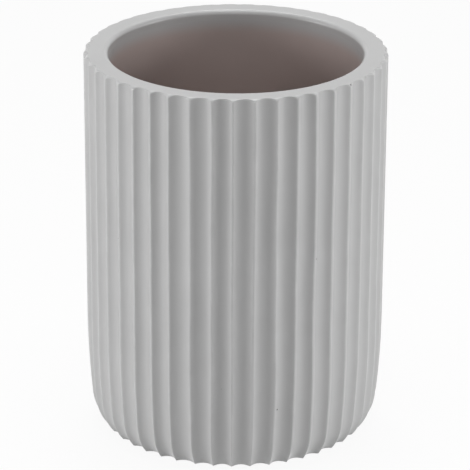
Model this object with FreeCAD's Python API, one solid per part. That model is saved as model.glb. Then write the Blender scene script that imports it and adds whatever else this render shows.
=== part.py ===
"""Bathroom tumbler: a fluted resin casting with a smooth cast-in liner and a foam foot pad.

Millimetres. The origin is the centre of the foot pad's underside, on the surface that the
tumbler stands on, and +Z runs up the tumbler's axis to the rim. A ridge lies on the Y axis
at the front (-Y), and a flute at the back.
"""

import FreeCAD, Part
import math
import os

from FreeCAD import Vector

# Casting, outside
body_diameter = 78.0  # across the ridges
body_height = 101.5  # from the ground base to the rim

# Flutes: hollow grooves that run from the rim, down the wall and under the heel
flute_count = 45
flute_depth = 1.0  # below the line that joins two ridges
ridge_width = 0.55  # flat left between two flutes on the straight wall

# Heel: the wall draws in on a long gentle turn, then turns under to the ground base
heel_height = 28.5  # from the base to where the gentle turn starts
gentle_radius = 230.0
heel_radius = 14.0
base_turn = 39.6  # degrees from upright where the base cuts the heel's own turn off

# Rim and cavity, as seen from inside the cup
rim_width = 6.3  # from the ridges to the mouth
lip_radius = 1.2  # rounded inner edge of the rim
corner_radius = 5.0  # where the cup's wall meets its floor

# Liner: thin smooth cup that the resin is cast round, flush with the wall above it
liner_thickness = 0.8
liner_set_down = 1.3  # from the end of the rounded lip to the liner's edge

# Floor and foot: foam pad, held by an adhesive film in a shallow recess under the base
floor_thickness = 4.0  # of resin, between the recess and the liner
base_ring_width = 6.5  # ground ring that is left round the recess
recess_depth = 1.2
pad_thickness = 2.0
pad_clearance = 0.3  # round the pad, in its recess
adhesive_thickness = 0.2

# Each round of a half section is carried in this many straight runs, to keep its facets few
round_runs = 3

# Heights, from the standing surface up
recess_ceiling_z = pad_thickness + adhesive_thickness
base_z = recess_ceiling_z - recess_depth
heel_top_z = base_z + heel_height
floor_z = recess_ceiling_z + floor_thickness + liner_thickness
rim_z = base_z + body_height
liner_edge_z = rim_z - lip_radius - liner_set_down

# Sector: one flute with half a ridge on each side
body_radius = body_diameter / 2
sector_angle = 360.0 / flute_count
front_angle = -90.0  # degrees, to the ridge at the front
half_sector = math.radians(sector_angle / 2)
wall_radius = body_radius * math.cos(half_sector)  # to the line that joins two ridges
ridge_spacing = 2 * body_radius * math.sin(half_sector)
flute_width = ridge_spacing - ridge_width

# Heel, in the middle plane of a sector: both turns share the line through their centres
base_angle = math.radians(base_turn)
between_centres = gentle_radius - heel_radius
heel_centre_z = base_z + heel_radius * math.sin(base_angle)
gentle_angle = math.asin((heel_top_z - heel_centre_z) / between_centres)  # where the turns meet
heel_centre_radius = wall_radius - heel_radius - between_centres * (1 - math.cos(gentle_angle))
base_radius = heel_centre_radius + heel_radius * math.cos(base_angle)

# Cavity and foot radii
mouth_radius = body_radius - rim_width
recess_radius = base_radius - base_ring_width
pad_radius = recess_radius - pad_clearance

ORIGIN = Vector(0, 0, 0)
ACROSS = Vector(0, 1, 0)
UP = Vector(0, 0, 1)


def at(radius, height):
    """Point of the half section at a radius from the axis and a height."""
    return Vector(radius, 0, height)


def round_points(centre, radius, start, end):
    """Points along a round of the half section, between two angles above the outward direction."""
    points = []
    for number in range(round_runs + 1):
        angle = math.radians(start + (end - start) * number / round_runs)
        points.append(centre + at(radius * math.cos(angle), radius * math.sin(angle)))
    return points


def turned(points):
    """Solid that a closed half section sweeps round the tumbler's axis."""
    section = Part.makePolygon([*points, points[0]])
    return Part.Face(section).revolve(ORIGIN, UP, 360)


def heel_points():
    """Outline of the heel: one run for the gentle turn, then the turn down to the base."""
    centre = at(heel_centre_radius, heel_centre_z)
    turn = round_points(centre, heel_radius, -math.degrees(gentle_angle), -base_turn)
    return [at(wall_radius, heel_top_z), *turn]


def space_outside_wall():
    """Level face outside the wall, across one sector: its edge is a flute between two ridges.

    It lies at the height where the heel starts.
    """
    to_edge = ACROSS * (flute_width / 2)
    to_side = ACROSS * (ridge_spacing / 2 + ridge_width)
    ridge = at(wall_radius, heel_top_z)
    outside = at(body_radius + ridge_spacing, heel_top_z)
    flute = Part.Arc(ridge - to_edge, ridge - at(flute_depth, 0), ridge + to_edge).toShape()
    corners = [ridge + to_side, outside + to_side, outside - to_side, ridge - to_side]
    rest = Part.makePolygon([ridge + to_edge, *corners, ridge - to_edge])
    return Part.Face(Part.Wire([flute, *rest.Edges]))


def fluted_sector():
    """Slice of a solid bar with one flute, carried straight down the wall and in runs round the heel."""
    space = space_outside_wall()
    slice_radius = body_radius + ridge_width
    sector = Part.makeCylinder(slice_radius, body_height, at(0, base_z), UP, sector_angle)
    sector.rotate(ORIGIN, UP, -sector_angle / 2)
    sector = sector.cut(space.translated(at(0, -body_height)).extrude(at(0, 2 * body_height)))
    points = heel_points()
    for upper, lower in zip(points, points[1:]):
        run = lower - upper
        overrun = run * (ridge_spacing / run.Length)
        slope = math.degrees(math.atan2(-run.x, -run.z))
        tilted = space.rotated(points[0], ACROSS, slope).translated(upper - points[0] - overrun)
        sector = sector.cut(tilted.extrude(run + overrun * 2))
    return sector


def is_cut_side(face):
    """True for the two upright planes where a sector meets its neighbours."""
    if not isinstance(face.Surface, Part.Plane):
        return False
    normal = face.Surface.Axis
    return abs(normal.y) > abs(normal.x) + abs(normal.z)


def fluted_bar():
    """Solid fluted bar: the sector's skin repeated round the axis from the front ridge and sewn up."""
    skin = [face for face in fluted_sector().Faces if not is_cut_side(face)]
    faces = []
    for number in range(flute_count):
        turn = front_angle + (number + 0.5) * sector_angle
        faces += [face.rotated(ORIGIN, UP, turn) for face in skin]
    shell = Part.makeShell(faces)
    shell.sewShape()
    return Part.makeSolid(shell).removeSplitter()


def cup_inside(offset):
    """Half section of the cup's inside, moved outwards by an offset, from the axis to the liner's edge."""
    centre = at(mouth_radius - corner_radius, floor_z + corner_radius)
    corner = round_points(centre, corner_radius + offset, -90, 0)
    return [at(0, floor_z - offset), *corner, at(mouth_radius + offset, liner_edge_z)]


def cavity():
    """Space inside the casting: the liner's bed, the ledge over its edge, and the rounded mouth."""
    above_rim = rim_z + lip_radius
    lip_centre = at(mouth_radius + lip_radius, rim_z - lip_radius)
    return turned(
        [
            *cup_inside(liner_thickness),
            at(mouth_radius, liner_edge_z),
            *round_points(lip_centre, lip_radius, 180, 90),
            at(lip_centre.x, above_rim),
            at(0, above_rim),
        ]
    )


def fluted_body():
    """Resin casting: fluted wall, rim, heel and base in one piece, hollow inside and under."""
    recess = Part.makeCylinder(recess_radius, recess_depth, at(0, base_z), UP)
    return fluted_bar().cut(cavity()).cut(recess)


def inner_liner():
    """Thin smooth cup that lines the cavity from just below the rim."""
    return turned([*cup_inside(0), *reversed(cup_inside(liner_thickness))])


def pad_adhesive():
    """Adhesive film between the pad and the ceiling of its recess."""
    return Part.makeCylinder(pad_radius, adhesive_thickness, at(0, pad_thickness), UP)


def base_pad():
    """Foam disc that the tumbler stands on."""
    return Part.makeCylinder(pad_radius, pad_thickness, ORIGIN, UP)


def main():
    """Builds each piece and writes it under its own name."""
    os.makedirs("parts", exist_ok=True)
    for make in (fluted_body, inner_liner, pad_adhesive, base_pad):
        (piece,) = make().Solids
        piece.exportStep(f"parts/{make.__name__}.step")
        size = piece.optimalBoundingBox()
        print(
            f"{make.__name__}: {len(piece.Faces)} faces, {piece.Volume / 1000:.2f} cm3,"
            f" {size.XLength:.2f} x {size.YLength:.2f} x {size.ZLength:.2f} mm,"
            f" valid {piece.isValid()}"
        )


main()
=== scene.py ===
# %% [markdown]
# # A fluted bathroom tumbler
#
# The tumbler is one matt grey resin casting with hollow flutes all round, a smooth taupe cup
# inside it and a foam pad under its foot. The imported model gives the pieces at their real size
# and place. This lesson dresses them: each piece becomes a fine surface worked out with numpy,
# and each finish becomes a procedural material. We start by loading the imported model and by
# keeping its box, because the dressed pieces have to stay inside it.

import math

import bpy
import numpy as np
from mathutils import Matrix, Vector


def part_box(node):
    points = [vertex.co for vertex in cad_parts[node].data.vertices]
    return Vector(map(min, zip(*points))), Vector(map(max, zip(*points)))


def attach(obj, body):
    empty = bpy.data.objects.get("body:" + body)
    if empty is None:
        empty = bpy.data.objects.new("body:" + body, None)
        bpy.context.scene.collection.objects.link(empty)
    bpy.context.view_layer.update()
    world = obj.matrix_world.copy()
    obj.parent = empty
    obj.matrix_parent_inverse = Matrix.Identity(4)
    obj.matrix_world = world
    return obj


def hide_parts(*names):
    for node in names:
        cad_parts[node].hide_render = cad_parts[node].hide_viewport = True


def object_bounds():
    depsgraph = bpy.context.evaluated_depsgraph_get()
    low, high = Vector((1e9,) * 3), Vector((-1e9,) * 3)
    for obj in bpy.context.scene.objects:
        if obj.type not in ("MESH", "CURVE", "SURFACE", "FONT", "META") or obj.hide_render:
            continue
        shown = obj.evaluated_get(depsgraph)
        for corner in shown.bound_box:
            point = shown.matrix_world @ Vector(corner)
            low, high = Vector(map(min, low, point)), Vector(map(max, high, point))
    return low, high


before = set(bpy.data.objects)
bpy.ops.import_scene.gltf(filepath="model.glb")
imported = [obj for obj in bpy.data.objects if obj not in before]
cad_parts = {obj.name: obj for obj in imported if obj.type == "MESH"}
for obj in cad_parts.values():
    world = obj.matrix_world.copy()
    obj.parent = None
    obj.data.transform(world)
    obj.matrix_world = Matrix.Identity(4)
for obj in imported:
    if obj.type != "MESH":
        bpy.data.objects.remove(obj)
cad_low, cad_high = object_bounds()
MM = 0.001  # metres in a millimetre
print("nodes:", sorted(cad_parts))

# %% [markdown]
# ## Helpers
#
# A colour is written as a hex value, as a paint chart gives it, and Blender's shaders want it
# linear, so one function decodes the sRGB curve. One function adds a shader node with its
# settings and links. One starts a material and hands over the places on its piece that
# patterns are drawn from: object coordinates, so a pattern is tied to the piece and not to the
# picture.


# %% Colour and material helpers
def linear(hex_colour):
    """Linear RGBA of an sRGB hex colour: each channel c is ((c + 0.055) / 1.055) ** 2.4."""
    channels = np.array([int(hex_colour[i : i + 2], 16) / 255 for i in (1, 3, 5)])
    decoded = np.where(channels > 0.04045, ((channels + 0.055) / 1.055) ** 2.4, channels / 12.92)
    return (*decoded.tolist(), 1.0)


def add_node(tree, kind, links=None, **settings):
    """Adds a node. Settings name its properties or input sockets, links its linked input sockets."""
    node = tree.nodes.new(kind)
    for name, value in settings.items():
        if hasattr(node, name):
            setattr(node, name, value)
        else:
            node.inputs[name.replace("_", " ")].default_value = value
    for name, socket in (links or {}).items():
        tree.links.new(socket, node.inputs[name])
    return node


def new_finish(name):
    """New material, with its tree, its shader and the socket that gives places on the piece."""
    material = bpy.data.materials.new(name)
    material.use_nodes = True
    tree = material.node_tree
    place = add_node(tree, "ShaderNodeTexCoord").outputs["Object"]
    return material, tree, tree.nodes["Principled BSDF"], place


print("white paper in linear light:", [round(c, 3) for c in linear("#f4f4f4")[:3]])

# %% [markdown]
# Every piece of the tumbler is closed and goes round one axis, so one function makes all of
# their meshes from a grid of points: its columns run round the axis and join up, its rows run
# along the profile, and its first and last rows shrink to a point on the axis, so no seam is
# left open. Two more give the rows of plain round pieces, which are lines and arcs swept round.
# Blender's Spin would also do, but a grid gives each point a known row and column.


# %% Surface helpers
def closed_surface(name, points):
    """Mesh object of a grid of points, rows by columns by 3, round an axis.

    Each quad joins two columns of two rows, and the last column joins the first. The first and
    last rows are poles, so each is one point, joined to the next row by a fan of triangles.
    """
    rows, columns = points.shape[:2]
    inner = points[1:-1].reshape(-1, 3)
    vertices = np.concatenate([inner, points[:1, 0], points[-1:, 0]])
    steps = rows - 3  # from one row between the poles to the next
    start = np.arange(steps)[:, None] * columns
    here = np.arange(columns)
    after = np.roll(here, -1)
    above = start + columns
    quads = np.stack([start + here, start + after, above + after, above + here], -1)
    first_pole = len(inner)
    last_pole = first_pole + 1
    last_start = steps * columns
    fan_in = np.stack([np.full(columns, first_pole), after, here], -1)
    fan_out = np.stack([last_start + here, last_start + after, np.full(columns, last_pole)], -1)
    mesh = bpy.data.meshes.new(name)
    faces = [*quads.reshape(-1, 4).tolist(), *fan_in.tolist(), *fan_out.tolist()]
    mesh.from_pydata(vertices, [], faces)
    mesh.shade_smooth()
    piece = bpy.data.objects.new(name, mesh)
    bpy.context.scene.collection.objects.link(piece)
    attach(piece, "root")
    print(f"{name}: {len(mesh.vertices)} points, {len(mesh.polygons)} faces")
    return piece


def revolved(angles, half_section):
    """Grid of points that a half section, rows of radius and height, sweeps round the axis."""
    radius, height = np.array(half_section).T[:, :, None]
    return np.stack(
        np.broadcast_arrays(radius * np.cos(angles), radius * np.sin(angles), height), -1
    )


def arc_points(centre, radius, start, end, count):
    """Points of a half section along an arc, between two angles in degrees above the level."""
    angle = np.radians(np.linspace(start, end, count))
    return np.stack([centre[0] + radius * np.cos(angle), centre[1] + radius * np.sin(angle)], -1)


print("ends of a quarter arc:", arc_points((0, 0), 1, 0, 90, 2).round(2).tolist())

# %% [markdown]
# ## The fluted casting
#
# The outside is one idea carried all over: a section of hollow flutes and narrow ridges.
# It runs straight down the wall, and under the heel it follows the curve, always at the same
# depth below the skin. So the surface is a function of two parameters. The first goes round
# the section and gives each column a place across its flute and a depth. The second goes along
# the heel's outline. A column of some depth follows the outline's parallel curve at that depth,
# which for an upright line and two round turns is again a line and two turns, with radii that
# are shorter by the depth. A boolean cut per flute would also do, but it would leave torn, uneven
# facets, where this grid stays even and shades smoothly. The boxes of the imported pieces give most
# of the sizes.

# %% Sizes of the casting
body_low, body_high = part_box("fluted_body")
liner_low, liner_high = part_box("inner_liner")
film_low, film_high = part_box("pad_adhesive")
pad_low, pad_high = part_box("base_pad")

body_radius = -body_low.y  # a ridge lies on the Y axis at the front
base_z = body_low.z
rim_z = body_high.z

flute_count = 45
flute_depth = 1.0 * MM
ridge_width = 0.55 * MM
least_ridge = 0.2 * MM  # left between two flutes where the heel draws in
ridge_softness = 0.13 * MM  # rounds the edges of a ridge
ridge_slope = 1.0  # how steeply a ridge's flat is taken to fall away beside a flute

heel_height = 28.5 * MM  # from the base to where the wall starts to turn
gentle_radius = 230.0 * MM  # of the first, gentle turn
gentle_turn = math.radians(5.2)
heel_radius = 14.0 * MM  # of the second, tighter turn down to the base
rim_edge_radius = 1.0 * MM  # takes the ridges off where they reach the rim
rim_edge_softness = 0.05 * MM

liner_thickness = 0.8 * MM
mouth_radius = liner_high.y - liner_thickness
lip_radius = 1.2 * MM
corner_radius = 5.0 * MM

half_sector = math.pi / flute_count
wall_radius = body_radius * math.cos(half_sector)  # to the line that joins two ridges
flute_width = 2 * body_radius * math.sin(half_sector) - ridge_width
flute_radius = (flute_width**2 / 4 + flute_depth**2) / (2 * flute_depth)

gentle_centre = np.array([wall_radius - gentle_radius, base_z + heel_height])
turn_inward = np.array([-math.cos(gentle_turn), math.sin(gentle_turn)])
heel_centre = gentle_centre - turn_inward * (gentle_radius - heel_radius)
print(f"flute {flute_width / MM:.2f} mm wide and {flute_depth / MM:.2f} mm deep")

# %% [markdown]
# Across a flute the hollow is an arc, as a round cutter leaves it. With s from -1 to 1 across the
# flute, w its width and r the arc's radius, the hollow goes as sqrt(r * r - (s * w / 2) ** 2). The
# columns crowd towards the edges, s = sin(a) for even steps of a, because the surface turns
# fastest where a flute meets its ridge.

# %% Columns across one flute
points_in_flute = 15
flute_steps = np.linspace(-math.pi / 2, math.pi / 2, points_in_flute)
land_shares = np.array([-0.5, 0.5, 1.0])  # places on the ridges beside it, as shares of their halves
sector_across = np.concatenate([[-1.0], np.sin(flute_steps), [1.0, 1.0]])
sector_land = np.concatenate([land_shares[:1], np.zeros(points_in_flute), land_shares[1:]])
columns_per_flute = len(sector_across)

across_share = np.tile(sector_across, flute_count)
land_share = np.tile(sector_land, flute_count)
sector = np.repeat(np.arange(flute_count), columns_per_flute)
middle_angle = -math.pi / 2 + (sector + 0.5) * 2 * half_sector
print(f"{len(sector)} columns, {columns_per_flute} to a flute")

# %% [markdown]
# A cast piece is never quite regular. The master for the mould was worked by hand, so its ridges
# stand a little out of step, wander sideways by a tenth of a millimetre or two, and its flutes
# differ in depth. Without that, the render looks machined. We give each ridge its own shift and
# its own slow waves along its height, from seeded random draws, so every run gives the same
# casting.

# %% The hand of the caster
cast_hand = np.random.default_rng(46)
wander_size = 0.07 * MM
wander_lengths = np.array([140.0, 62.0, 31.0]) * MM
wander_weights = np.array([1.0, 0.7, 0.4])
depth_spread = 0.07  # of a flute's depth
step_spread = 0.13 * MM
wander_phase = cast_hand.uniform(0, 2 * math.pi, (flute_count, len(wander_lengths)))
wander_share = cast_hand.normal(0, 1, (flute_count, len(wander_lengths))) * wander_weights
depth_change = depth_spread * cast_hand.normal(0, 1, flute_count)
out_of_step = step_spread * cast_hand.normal(0, 1, flute_count)


def ridge_wander(height):
    """Sideways shift of each ridge at each height: its own shift and three slow sine waves."""
    waves = np.sin(2 * math.pi * height[:, None, None] / wander_lengths + wander_phase)
    return out_of_step + wander_size * (waves * wander_share).sum(-1)


print(f"ridges out of step by up to {np.abs(out_of_step).max() / MM:.2f} mm")

# %% [markdown]
# The next cell turns those columns into rows of the outside. At each step along the outline it
# needs the half width of a sector there, because the ridges close up as the heel draws in while
# the flutes keep their width, until the last sliver of ridge. The smooth maximum
# (x + sqrt(x * x + s * s)) / 2 keeps a ridge's edges a little round, as resin that comes out of
# a rubber mould is.


# %% Rows of the outside
def outside_rows(outline_radius, outline_height, place):
    """Radius, height and angle of the outside for steps along its outline.

    Each step has the outline's radius and height, and place turns each column's depth below the
    outline into a radius in the sector's middle plane and a height.
    """
    half_width = outline_radius[:, None] * math.tan(half_sector)
    half_flute = np.minimum(flute_width / 2, half_width - least_ridge / 2)
    t = across_share * half_flute + land_share * (half_width - half_flute)
    beyond = np.abs(land_share) * (half_width - half_flute) * ridge_slope
    from_middle = across_share * flute_width / 2
    arc = np.sqrt(flute_radius**2 - from_middle**2) - (flute_radius - flute_depth)
    hollow = arc * (1 + depth_change[sector]) - beyond
    depth = (hollow + np.sqrt(hollow**2 + ridge_softness**2)) / 2
    middle_radius, height = place(depth)
    shift = ridge_wander(outline_height)
    from_left = (t / half_width + 1) / 2
    left_shift = shift[:, sector]
    right_shift = shift[:, (sector + 1) % flute_count]
    sideways = t + left_shift * (1 - from_left) + right_shift * from_left
    radius = np.hypot(middle_radius, t)
    angle = middle_angle + np.arctan2(sideways, middle_radius)
    return radius, height, angle


print(f"edges of the ridges eased over {ridge_softness / MM:.2f} mm")

# %% [markdown]
# The heel is two turns of the outline: a long gentle one, and a tighter one down to the ground
# base. On a turn, a column of some depth follows a turn with the same centre and a shorter radius.
# The base plane cuts the last turn off, and a shorter turn meets it at a slope of its own, so each
# column gets its own last slope there.


# %% Turns of the heel
def turn_rows(centre, turn_radius, start, end, count):
    """Rows round one turn of the outline, from one slope to another.

    An end of None is the base plane, where columns of each depth end at a slope of their own.
    """
    share = np.linspace(0, 1, count)[:, None]
    last = end if end is not None else math.asin((centre[1] - base_z) / turn_radius)
    slope = start + (last - start) * share

    def place(depth):
        """Parallel turn, shorter in radius by the depth, which ends where it meets the base plane."""
        radius = turn_radius - depth
        stop = last if end is not None else np.arcsin((centre[1] - base_z) / radius)
        angle = start + (stop - start) * share
        return centre[0] + radius * np.cos(angle), centre[1] - radius * np.sin(angle)

    outline_radius = centre[0] + turn_radius * np.cos(slope[:, 0])
    outline_height = centre[1] - turn_radius * np.sin(slope[:, 0])
    return outside_rows(outline_radius, outline_height, place)


print(f"the tighter turn starts {math.degrees(gentle_turn):.1f} degrees from upright")

# %% [markdown]
# Above the heel the flutes run straight up the wall to the rim. There the casting's outer edge was
# eased by hand: the hollows still end in a crisp edge, but a quarter turn takes the tips of the
# ridges off. Bevel would round the hollows' edges too, so instead the quarter turn is a limit on
# the radius of each column.


# %% Wall and rim edge
def wall_rows(count):
    """Rows up the straight wall, from the heel to the eased edge of the rim."""
    height = np.linspace(gentle_centre[1], rim_z - rim_edge_radius, count)

    def place(depth):
        """Upright line, inside the wall by the depth."""
        return wall_radius - depth, np.broadcast_to(height[:, None], depth.shape)

    return outside_rows(np.full(count, wall_radius), height, place)


def rim_edge_rows(count):
    """Rows over the rim's outer edge: the flutes run on, and a quarter turn takes the ridges off.

    The radius is the smooth minimum of the fluted wall's and the quarter turn's, which with e for
    the first less the second is the second plus (e - sqrt(e * e + s * s)) / 2.
    """
    angle = np.linspace(0, math.pi / 2, count)
    edge_height = rim_z - rim_edge_radius * (1 - np.sin(angle))
    limit = (body_radius - rim_edge_radius * (1 - np.cos(angle)))[:, None]

    def place(depth):
        """Upright line, inside the wall by the depth."""
        return wall_radius - depth, np.broadcast_to(edge_height[:, None], depth.shape)

    radius, height, turn = outside_rows(np.full(count, wall_radius), edge_height, place)
    excess = radius - limit
    return limit + (excess - np.sqrt(excess**2 + rim_edge_softness**2)) / 2, height, turn


print(f"rim edge eased over {rim_edge_radius / MM:.1f} mm")

# %% [markdown]
# The rest of the casting is round: the recess under the foot, the lip and the bed of the liner. Its
# rows have as many columns as the fluted ones, at even angles, so that every row joins the next.
# Across the flat rim and the ground base, rows in between blend from the fluted edge to the round
# one. Filling those rings as single faces would also do, but it would leave long thin triangles.


# %% Round and blended rows
def plain_rows(half_section):
    """Round rows for points of a half section, at the columns' even angles."""
    radius, height = np.array(half_section).T[:, :, None]
    t = across_share * flute_width / 2 + land_share * ridge_width / 2
    angle = middle_angle + np.arctan2(t, wall_radius)
    return tuple(np.broadcast_arrays(radius, height, angle[None, :]))


def blended_rows(outer, inner, shares):
    """Rows between two rows, at shares of the way from the first to the second."""
    share = np.array(shares)[:, None]
    return tuple(a[None, :] + (b[None, :] - a[None, :]) * share for a, b in zip(outer, inner))


def last_row(rows):
    """Last row of a block, as its radius, height and angle."""
    return tuple(part[-1] for part in rows)


def first_row(rows):
    """First row of a block, as its radius, height and angle."""
    return tuple(part[0] for part in rows)


print("columns of a round row:", plain_rows([(mouth_radius, rim_z)])[0].shape[1])

# %% [markdown]
# Now the whole half section is strung together, from the middle of the recess under the foot,
# out over the ground base, up the heel and the wall, over the rim and the rounded lip, and down
# the bed of the liner to the middle of the cup's floor. Pairs of close rows stand beside each
# sharp edge, so that smooth shading keeps its flats flat.

# %% Assemble the casting
heel_steps = 14
gentle_steps = 10
wall_steps = 44
rim_edge_steps = 11
lip_steps = 9
bed_corner_steps = 6
ground_shares = (0.4, 0.8, 0.97)  # of the way from the recess to the heel
rim_shares = (0.04, 0.35, 0.7, 0.97)  # of the way from the fluted edge to the lip

edge_step = 0.04 * MM
pad_clearance = 0.3 * MM
recess_radius = pad_high.y + pad_clearance
recess_z = film_high.z
bed_radius = liner_high.y
bed_z = liner_low.z
liner_edge_z = liner_high.z
bed_corner = corner_radius + liner_thickness
bed_corner_centre = (mouth_radius - corner_radius, bed_z + bed_corner)
lip_centre = (mouth_radius + lip_radius, rim_z - lip_radius)

heel = turn_rows(heel_centre, heel_radius, gentle_turn, None, heel_steps)
heel = tuple(part[::-1] for part in heel)
gentle = turn_rows(gentle_centre, gentle_radius, 0.0, gentle_turn, gentle_steps)
gentle = tuple(part[::-1][1:] for part in gentle)
wall = tuple(part[1:] for part in wall_rows(wall_steps))
rim_edge = tuple(part[1:] for part in rim_edge_rows(rim_edge_steps))
lip = plain_rows(arc_points(lip_centre, lip_radius, 90, 180, lip_steps))
recess = plain_rows(
    [
        (0, recess_z),
        (recess_radius - edge_step, recess_z),
        (recess_radius, recess_z),
        (recess_radius, recess_z - edge_step),
        (recess_radius, base_z + edge_step),
        (recess_radius, base_z),
        (recess_radius + edge_step, base_z),
    ]
)
ground = blended_rows(last_row(recess), first_row(heel), ground_shares)
rim = blended_rows(last_row(rim_edge), first_row(lip), rim_shares)
bed = plain_rows(
    [
        (mouth_radius, liner_edge_z + edge_step),
        (mouth_radius, liner_edge_z),
        (mouth_radius + edge_step, liner_edge_z),
        (bed_radius - edge_step, liner_edge_z),
        (bed_radius, liner_edge_z),
        (bed_radius, liner_edge_z - edge_step),
        *arc_points(bed_corner_centre, bed_corner, 0, -90, bed_corner_steps),
        (0, bed_z),
    ]
)
blocks = [recess, ground, heel, gentle, wall, rim_edge, rim, lip, bed]
radius, height, angle = (np.concatenate(part) for part in zip(*blocks))
casting_points = np.stack([radius * np.cos(angle), radius * np.sin(angle), height], -1)
casting = closed_surface("fluted_casting", casting_points)
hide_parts("fluted_body")

# %% [markdown]
# Hands and shelves rub a fluted wall on its ridges first. So that the finish can follow them,
# each point of the casting carries a number that is 1 on a ridge and fades to 0 in the flutes.
# A material could look for edges by itself with the Pointiness output, but a number on the mesh gives
# the same result at every size of render.

# %% Mark the ridges
worn_blocks = [heel, gentle, wall, rim_edge]
row_is_worn = np.concatenate(
    [np.full(len(block[0]), any(block is worn for worn in worn_blocks)) for block in blocks]
)
crest_sharpness = 6
column_crest = np.abs(across_share) ** crest_sharpness
crest = (row_is_worn[:, None] * column_crest)[1:-1].reshape(-1)
crest_layer = casting.data.attributes.new("ridge_crest", "FLOAT", "POINT")
crest_layer.data.foreach_set("value", np.concatenate([crest, [0.0, 0.0]]).astype(np.float32))
print(f"{np.mean(crest > 0.5):.0%} of the casting's points lie on ridges")

# %% [markdown]
# ## The cast resin
#
# Polyresin is polyester filled with stone powder, cast in a rubber mould and sprayed with a matt
# neutral grey. To the eye that gives an even pale grey with a low, silky sheen, which steps up
# where a flute turns towards a lamp, a very fine tooth from the spray, faint clouds where the
# filler settled, slightly polished, paler ridges, and here and there a pinhole where an air bubble
# met the mould. The tooth is finer than a pixel of this picture, so it is drawn a little coarser
# than it is. For the pinholes, each point of a loose Voronoi pattern in space is a bubble, and
# the few that happen to lie in the skin show as holes.

# %% Matt grey polyresin
resin, tree, shader, place = new_finish("matt_grey_polyresin")
cloud_size = 14 * MM
tooth_size = 0.5 * MM  # real spray tooth is about a tenth of this
rub_size = 5 * MM
bubble_spacing = 14 * MM
bubble_radius = 0.28 * MM

clouds = add_node(tree, "ShaderNodeTexNoise", {"Vector": place}, Scale=1 / cloud_size, Detail=3.0)
tooth = add_node(tree, "ShaderNodeTexNoise", {"Vector": place}, Scale=1 / tooth_size, Detail=2.0)
rubs = add_node(tree, "ShaderNodeTexNoise", {"Vector": place}, Scale=1 / rub_size, Detail=2.0)
bubbles = add_node(tree, "ShaderNodeTexVoronoi", {"Vector": place}, Scale=1 / bubble_spacing)
ridge_crest = add_node(tree, "ShaderNodeAttribute", attribute_name="ridge_crest")
worn = add_node(
    tree,
    "ShaderNodeMath",
    {0: ridge_crest.outputs["Fac"], 1: rubs.outputs["Fac"]},
    operation="MULTIPLY",
)
hole = add_node(
    tree,
    "ShaderNodeMapRange",
    {"Value": bubbles.outputs["Distance"]},
    From_Min=0.7 * bubble_radius / bubble_spacing,
    From_Max=bubble_radius / bubble_spacing,
    To_Min=1.0,
    To_Max=0.0,
)
print("resin patterns:", len(tree.nodes), "nodes so far")

# %% [markdown]
# The patterns now drive the shader. Colour goes from the clouds to the paler ridges to a dark painted
# shade inside the holes, roughness is a little lower where the tooth is worn, and two bumps, one for
# the tooth and one for the holes, pass their normal on from one to the next.

# %% Colour, roughness and bump of the resin
cloudy = add_node(
    tree,
    "ShaderNodeMix",
    {"Factor": clouds.outputs["Fac"]},
    data_type="RGBA",
    A=linear("#b4b4b4"),
    B=linear("#bebebe"),
)
ridged = add_node(
    tree,
    "ShaderNodeMix",
    {"Factor": worn.outputs["Value"], "A": cloudy.outputs["Result"]},
    data_type="RGBA",
    B=linear("#c8c8c8"),
)
# Painted shade: the pinholes are filled with a dark grey that stands in for the shade inside each
# small dent.
pinhole_painted_shade = add_node(
    tree,
    "ShaderNodeMix",
    {"Factor": hole.outputs["Result"], "A": ridged.outputs["Result"]},
    data_type="RGBA",
    B=linear("#555453"),
)
rough = add_node(
    tree, "ShaderNodeMapRange", {"Value": worn.outputs["Value"]}, To_Min=0.32, To_Max=0.28
)
tooth_bump = add_node(
    tree, "ShaderNodeBump", {"Height": tooth.outputs["Fac"]}, Strength=0.25, Distance=0.02 * MM
)
hole_bump = add_node(
    tree,
    "ShaderNodeBump",
    {"Height": hole.outputs["Result"], "Normal": tooth_bump.outputs["Normal"]},
    invert=True,
    Strength=0.6,
    Distance=0.2 * MM,
)
tree.links.new(pinhole_painted_shade.outputs["Result"], shader.inputs["Base Color"])
tree.links.new(rough.outputs["Result"], shader.inputs["Roughness"])
tree.links.new(hole_bump.outputs["Normal"], shader.inputs["Normal"])
shader.inputs["IOR"].default_value = 1.52
casting.data.materials.append(resin)
print("resin:", len(tree.nodes), "nodes")

# %% [markdown]
# ## The liner
#
# The cup inside is darker and warmer than the casting, and it has a soft satin sheen: a thin
# moulded cup that the resin was cast round. Its wall is straight, its floor meets it in a round
# corner, and its edge ends flush under the lip. It is a plain surface of revolution, so a half
# section of lines and arcs swept round the axis is all it needs.

# %% Liner surface
liner_columns = 192
liner_corner_steps = 10
liner_wall_steps = 12
floor_ring_share = 0.4  # of the mouth's radius, to a ring of points on the floor
liner_angles = np.arange(liner_columns) * 2 * math.pi / liner_columns
cup_corner_centre = (mouth_radius - corner_radius, bed_z + liner_thickness + corner_radius)
wall_heights = np.linspace(bed_z + bed_corner, liner_edge_z - edge_step, liner_wall_steps)
liner_section = [
    (0, bed_z),
    *arc_points(bed_corner_centre, bed_corner, -90, 0, liner_corner_steps),
    *[(bed_radius, z) for z in wall_heights[1:]],
    (bed_radius, liner_edge_z),
    (bed_radius - edge_step, liner_edge_z),
    (mouth_radius + edge_step, liner_edge_z),
    (mouth_radius, liner_edge_z),
    *[(mouth_radius, z) for z in wall_heights[::-1]],
    *arc_points(cup_corner_centre, corner_radius, 0, -90, liner_corner_steps)[1:],
    (mouth_radius * floor_ring_share, bed_z + liner_thickness),
    (0, bed_z + liner_thickness),
]
liner = closed_surface("smooth_liner", revolved(liner_angles, liner_section))
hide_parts("inner_liner")
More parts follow.
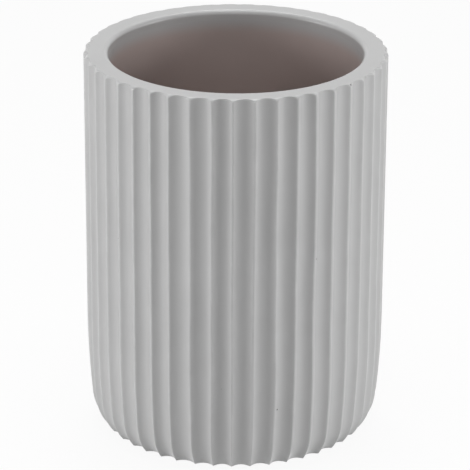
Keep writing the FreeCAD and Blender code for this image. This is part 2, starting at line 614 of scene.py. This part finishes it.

# %% [markdown]
# The liner is polypropylene, moulded smooth, so it shows no grain: only a satin sheen that dulls here
# and there where water has dried, and a shade that varies a little. Below the lip its colour turns
# greyer and a little paler towards its top edge, over a ramp in height read from the object
# coordinates.

# %% Satin taupe polypropylene
taupe, tree, shader, place = new_finish("satin_taupe_polypropylene")
smear_size = 9 * MM
drop_size = 4 * MM
grey_edge_depth = 4 * MM

height_of = add_node(tree, "ShaderNodeSeparateXYZ", {"Vector": place})
smears = add_node(tree, "ShaderNodeTexNoise", {"Vector": place}, Scale=1 / smear_size, Detail=2.0)
drops = add_node(tree, "ShaderNodeTexNoise", {"Vector": place}, Scale=1 / drop_size, Detail=1.0)
taupe_shade = add_node(
    tree,
    "ShaderNodeMix",
    {"Factor": smears.outputs["Fac"]},
    data_type="RGBA",
    A=linear("#b7a9a5"),
    B=linear("#bdafab"),
)
# Colour turns from taupe to a paler neutral grey over the last few millimetres below the liner's top
# edge.
grey_edge_ramp = add_node(
    tree,
    "ShaderNodeMapRange",
    {"Value": height_of.outputs["Z"]},
    interpolation_type="SMOOTHSTEP",
    From_Min=liner_edge_z - grey_edge_depth,
    From_Max=liner_edge_z,
)
greyed_near_edge = add_node(
    tree,
    "ShaderNodeMix",
    {"Factor": grey_edge_ramp.outputs["Result"], "A": taupe_shade.outputs["Result"]},
    data_type="RGBA",
    B=linear("#b9b9b9"),
)
dried = add_node(
    tree,
    "ShaderNodeMapRange",
    {"Value": drops.outputs["Fac"]},
    From_Min=0.45,
    From_Max=0.7,
    To_Min=0.42,
    To_Max=0.56,
)
tree.links.new(greyed_near_edge.outputs["Result"], shader.inputs["Base Color"])
tree.links.new(dried.outputs["Result"], shader.inputs["Roughness"])
shader.inputs["IOR"].default_value = 1.49
liner.data.materials.append(taupe)
print("taupe:", len(tree.nodes), "nodes")

# %% [markdown]
# ## The foot
#
# Under the base a die-cut disc of closed-cell foam sits in its recess on a film of adhesive, and
# keeps the casting off the shelf. The photograph shows none of it. The die pulls the foam's edge
# slightly round as it goes through, so the disc is a swept half section with small arcs at its
# edges, where a plain cylinder would look like a stand-in.

# %% Foot pad
pad_columns = 160
pad_angles = np.arange(pad_columns) * 2 * math.pi / pad_columns
pad_radius = pad_high.y
pad_edge = 0.25 * MM
pad_edge_steps = 5
pad_ring_share = 0.5  # of the pad's radius, to a ring of points on its flats
pad_section = [
    (0, pad_low.z),
    (pad_radius * pad_ring_share, pad_low.z),
    *arc_points((pad_radius - pad_edge, pad_low.z + pad_edge), pad_edge, -90, 0, pad_edge_steps),
    *arc_points((pad_radius - pad_edge, pad_high.z - pad_edge), pad_edge, 0, 90, pad_edge_steps),
    (pad_radius * pad_ring_share, pad_high.z),
    (0, pad_high.z),
]
pad = closed_surface("foam_pad", revolved(pad_angles, pad_section))
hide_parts("base_pad")

# %% [markdown]
# EVA foam is a skin of tiny closed cells, charcoal and quite matt. A Voronoi pattern gives the cells,
# and its distance also lifts a fine bump and darkens the sunken middle of each cell as painted shade.
# Real cells are finer than this.

# %% Closed-cell EVA foam
foam, tree, shader, place = new_finish("charcoal_eva_foam")
cell_size = 0.6 * MM  # about twice the real size, so that the cells show
cells = add_node(tree, "ShaderNodeTexVoronoi", {"Vector": place}, Scale=1 / cell_size)
# Painted shade: the colour is darkest in the middle of each cell, where the bump sinks lowest.
foam_hollow_painted_shade = add_node(
    tree,
    "ShaderNodeMix",
    {"Factor": cells.outputs["Distance"]},
    data_type="RGBA",
    A=linear("#2a2a2b"),
    B=linear("#3d3d3e"),
)
cell_bump = add_node(
    tree, "ShaderNodeBump", {"Height": cells.outputs["Distance"]}, Strength=0.5, Distance=0.05 * MM
)
tree.links.new(foam_hollow_painted_shade.outputs["Result"], shader.inputs["Base Color"])
tree.links.new(cell_bump.outputs["Normal"], shader.inputs["Normal"])
shader.inputs["Roughness"].default_value = 0.85
pad.data.materials.append(foam)
print("foam:", len(tree.nodes), "nodes")

# %% [markdown]
# The adhesive film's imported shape, a thin disc, is right as it is, so its node stays and only
# gets a finish: cream acrylic, a little cloudy where it was rolled on.

# %% Cream acrylic adhesive
film, tree, shader, place = new_finish("cream_acrylic_adhesive")
streak_size = 2 * MM
streaks = add_node(tree, "ShaderNodeTexNoise", {"Vector": place}, Scale=1 / streak_size, Detail=2.0)
film_shade = add_node(
    tree,
    "ShaderNodeMix",
    {"Factor": streaks.outputs["Fac"]},
    data_type="RGBA",
    A=linear("#d8d3c4"),
    B=linear("#e2ddcf"),
)
tree.links.new(film_shade.outputs["Result"], shader.inputs["Base Color"])
shader.inputs["Roughness"].default_value = 0.4
film_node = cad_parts["pad_adhesive"]
film_node.data.materials.clear()
film_node.data.materials.append(film)
print("film:", len(tree.nodes), "nodes")

# %% [markdown]
# ## Floor and background
#
# The photograph has a plain white ground. A floor of matt paper catches the tumbler's soft shadow
# and throws light back up at its heel. More light would not make it white without bleaching the
# tumbler, so the floor is partly its own white, but only to rays that go to the eye, straight, by
# reflection or through something clear. To the light that falls on the tumbler it stays paper.

# %% Floor
floor_half = 1.5
floor_shadow = 0.08  # share of the paper's own light and shadow that the eye sees
floor_corners = floor_half * np.array([(-1, -1, 0), (1, -1, 0), (1, 1, 0), (-1, 1, 0)])
floor_mesh = bpy.data.meshes.new("floor")
floor_mesh.from_pydata(floor_corners, [], [(0, 1, 2, 3)])
floor = bpy.data.objects.new("floor", floor_mesh)
bpy.context.scene.collection.objects.link(floor)


def eye_rays(tree):
    """Socket that is 1 for rays to the eye: straight, reflected, or through something clear."""
    rays = add_node(tree, "ShaderNodeLightPath").outputs
    bent = add_node(
        tree,
        "ShaderNodeMath",
        {0: rays["Is Glossy Ray"], 1: rays["Is Transmission Ray"]},
        operation="MAXIMUM",
    )
    seen = add_node(
        tree, "ShaderNodeMath", {0: rays["Is Camera Ray"], 1: bent.outputs[0]}, operation="MAXIMUM"
    )
    return seen.outputs[0]


paper, tree, shader, place = new_finish("white_paper_floor")
shader.inputs["Base Color"].default_value = linear("#f4f4f4")
shader.inputs["Roughness"].default_value = 0.9
white = add_node(tree, "ShaderNodeEmission", Strength=1.0)
share = add_node(tree, "ShaderNodeMath", {0: eye_rays(tree)}, operation="MULTIPLY")
share.inputs[1].default_value = 1 - floor_shadow
mixed = add_node(
    tree,
    "ShaderNodeMixShader",
    {"Fac": share.outputs[0], 1: shader.outputs[0], 2: white.outputs[0]},
)
tree.links.new(mixed.outputs[0], tree.nodes["Material Output"].inputs["Surface"])
floor_mesh.materials.append(paper)
print(f"floor {2 * floor_half:.0f} m across")

# %% [markdown]
# The world works in the same way: white to the eye, but almost dark as a light, because light from
# everywhere would fill the flutes and flatten them.

# %% World
world = bpy.data.worlds.new("white_studio")
bpy.context.scene.world = world
world.use_nodes = True
tree = world.node_tree
world_light = 0.03
dim = tree.nodes["Background"]
dim.inputs["Strength"].default_value = world_light
bright = add_node(tree, "ShaderNodeBackground", Color=linear("#ffffff"), Strength=1.0)
mixed = add_node(
    tree,
    "ShaderNodeMixShader",
    {"Fac": eye_rays(tree), 1: dim.outputs[0], 2: bright.outputs[0]},
)
tree.links.new(mixed.outputs[0], tree.nodes["World Output"].inputs["Surface"])
print("world light:", world_light)

# %% [markdown]
# ## Light
#
# In the photograph the sides of each flute that face left or right are bright, and the parts that
# face the camera are darker, so most of the light comes from two softboxes to the left and
# the right. One overhead lights the rim and reaches into the cup, a weak one above the camera
# keeps the flutes from going black, and one behind lights the far side. They are area lamps, all
# at the same distance.

# %% Softboxes
object_centre = (cad_low + cad_high) / 2
softbox_distance = 0.7


def add_softbox(name, azimuth, elevation, power, width=0.3, height=0.3):
    """Flat area lamp, aimed at the tumbler. Azimuth 0 is the camera's side, 90 the right."""
    a = math.radians(azimuth)
    e = math.radians(elevation)
    outward = Vector((math.sin(a) * math.cos(e), -math.cos(a) * math.cos(e), math.sin(e)))
    lamp = bpy.data.lights.new(name, "AREA")
    lamp.shape = "RECTANGLE"
    lamp.size = width
    lamp.size_y = height
    lamp.energy = power
    lamp_object = bpy.data.objects.new(name, lamp)
    lamp_object.location = object_centre + outward * softbox_distance
    lamp_object.rotation_mode = "QUATERNION"
    lamp_object.rotation_quaternion = outward.to_track_quat("Z", "Y")
    bpy.context.scene.collection.objects.link(lamp_object)
    print(f"{name}: {power} W, {width} by {height} m")


add_softbox("left_softbox", azimuth=-79, elevation=8, power=2.7, width=0.36)
add_softbox("right_softbox", azimuth=82, elevation=8, power=2.6, width=0.36)
add_softbox("top_softbox", azimuth=0, elevation=88, power=2.1)
add_softbox("front_softbox", azimuth=0, elevation=24, power=0.76)
add_softbox("back_softbox", azimuth=180, elevation=55, power=1.5)

# %% [markdown]
# ## Camera
#
# The photograph looks down at the tumbler by about 22 degrees through a long lens. Its distance,
# height, turn and lens were found by matching the outline of the wall, the two rings of the rim
# and the places of the ridges. The picture is square, so one focal length in pixels is enough.

# %% Camera
image_width = 470
focal_pixels = 2859
camera_azimuth = math.radians(0.8)
camera_pitch = 0.3887
camera_roll = 0.0051
camera_place = Vector((0, -694.3, 335.6)) * MM

camera_data = bpy.data.cameras.new("camera")
camera_data.sensor_width = 36
camera_data.lens = focal_pixels / image_width * camera_data.sensor_width
camera = bpy.data.objects.new("camera", camera_data)
bpy.context.scene.collection.objects.link(camera)
bpy.context.scene.camera = camera
around = Matrix.Rotation(camera_azimuth, 4, "Z")
aim = Matrix.Rotation(math.pi / 2 - camera_pitch, 4, "X") @ Matrix.Rotation(camera_roll, 4, "Z")
camera.matrix_world = around @ Matrix.Translation(camera_place) @ aim
print(f"lens {camera_data.lens:.0f} mm, looking down {math.degrees(camera_pitch):.1f} degrees")

# %% [markdown]
# ## Colour view
#
# The Standard view shows colours as they were written.

# %% Colour view
bpy.context.scene.view_settings.view_transform = "Standard"
